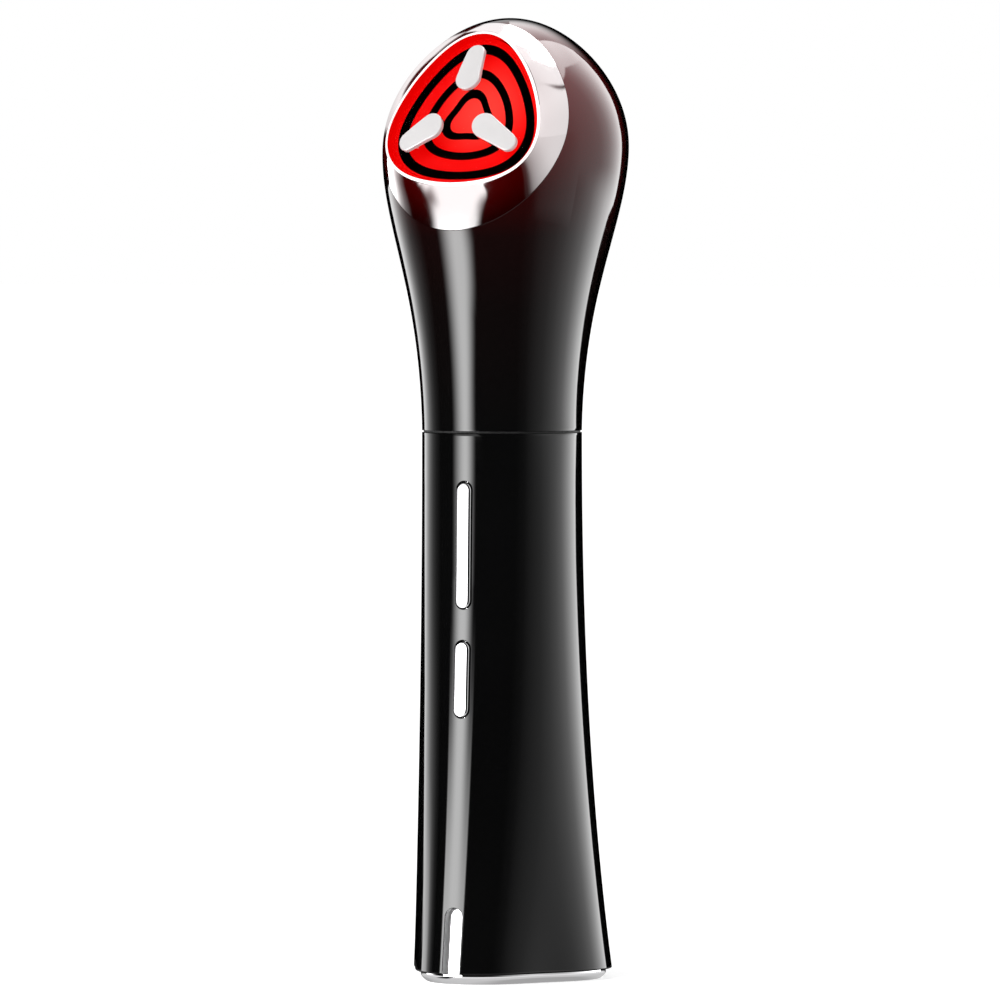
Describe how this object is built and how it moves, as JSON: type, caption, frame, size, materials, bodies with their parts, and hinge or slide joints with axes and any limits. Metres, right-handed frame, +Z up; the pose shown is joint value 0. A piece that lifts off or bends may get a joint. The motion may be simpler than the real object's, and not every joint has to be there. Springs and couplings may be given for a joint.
{
  "type": "facial toning wand",
  "caption": "Upright handheld facial device: black flared handle with two bright keys, smoked egg-shaped head and a tilted red-lit face with silver electrodes.",
  "frame": {"origin": "on the foot plate's underside, on the centre line of the neck", "axes": "+Z up the handle, -Y to the front where the keys and the lit face are, +X to the right of someone who looks at the front"},
  "size_m": [0.0514, 0.05, 0.2],
  "materials": {
    "handle_black": "gloss black lacquer",
    "smoked_shell": "smoked dark red gloss",
    "seal_rubber": "matt",
    "bright_plate": "mirror plated",
    "bright_key": "bright plated",
    "clear_lens": "clear polished",
    "electrode_metal": "fine satin plated",
    "lit_red": "lit red diffuser",
    "contour_black": "matt black print",
    "white_plastic": "matt white",
    "chip_red": "gloss",
    "contact_gold": "gold plated",
    "inner_plastic": "moulded",
    "screw_steel": "zinc plated",
    "motor_steel": "satin",
    "cable_film": "amber film",
    "board_green": "solder mask",
    "chip_black": "matt",
    "coil_copper": "enamelled wire",
    "cell_wrap": "shrink wrap",
    "switch_plunger": "moulded"
  },
  "bodies": {
    "housing": {"handle_shell": "handle_black", "head_shell": "smoked_shell", "neck_gasket": "seal_rubber", "face_ring": "bright_plate", "face_lens": "clear_lens", "top_electrode": "electrode_metal", "left_electrode": "electrode_metal", "right_electrode": "electrode_metal", "light_panel": "lit_red", "contour_lines": "contour_black", "reflector": "white_plastic", "light_board": "white_plastic", "light_chips": "chip_red", "contact_pins": "contact_gold", "head_frame": "inner_plastic", "face_screws": "screw_steel", "motor": "motor_steel", "motor_sleeve": "seal_rubber", "neck_collar": "inner_plastic", "neck_screws": "screw_steel", "flat_cable": "cable_film", "chassis": "inner_plastic", "main_board": "board_green", "board_parts": "chip_black", "pulse_coil": "coil_copper", "battery": "cell_wrap", "button_guide": "inner_plastic", "switch_bodies": "chip_black", "board_screws": "screw_steel", "foot_carrier": "inner_plastic", "foot_screws": "screw_steel", "foot_plate": "bright_plate", "front_inlay": "bright_plate", "charge_contacts": "contact_gold", "charge_board": "board_green"},
    "long_key": {"long_button": "bright_key", "long_plunger": "switch_plunger"},
    "short_key": {"short_button": "bright_key", "short_plunger": "switch_plunger"},
    "rotor": {"motor_shaft": "screw_steel", "eccentric_weight": "motor_steel"}
  },
  "joints": [
    {"name": "long_key_press", "type": "slide", "parent": "housing", "child": "long_key", "axis": [0, 1, 0], "range_m": [0, 0.0004], "stiffness_N_per_m": 600, "springref_m": -0.0004},
    {"name": "short_key_press", "type": "slide", "parent": "housing", "child": "short_key", "axis": [0, 1, 0], "range_m": [0, 0.0004], "stiffness_N_per_m": 600, "springref_m": -0.0004},
    {"name": "motor_spin", "type": "hinge", "parent": "housing", "child": "rotor", "pos_m": [0, 0.0015, 0.147], "axis": [0, 0, 1], "continuous": true}
  ]
}
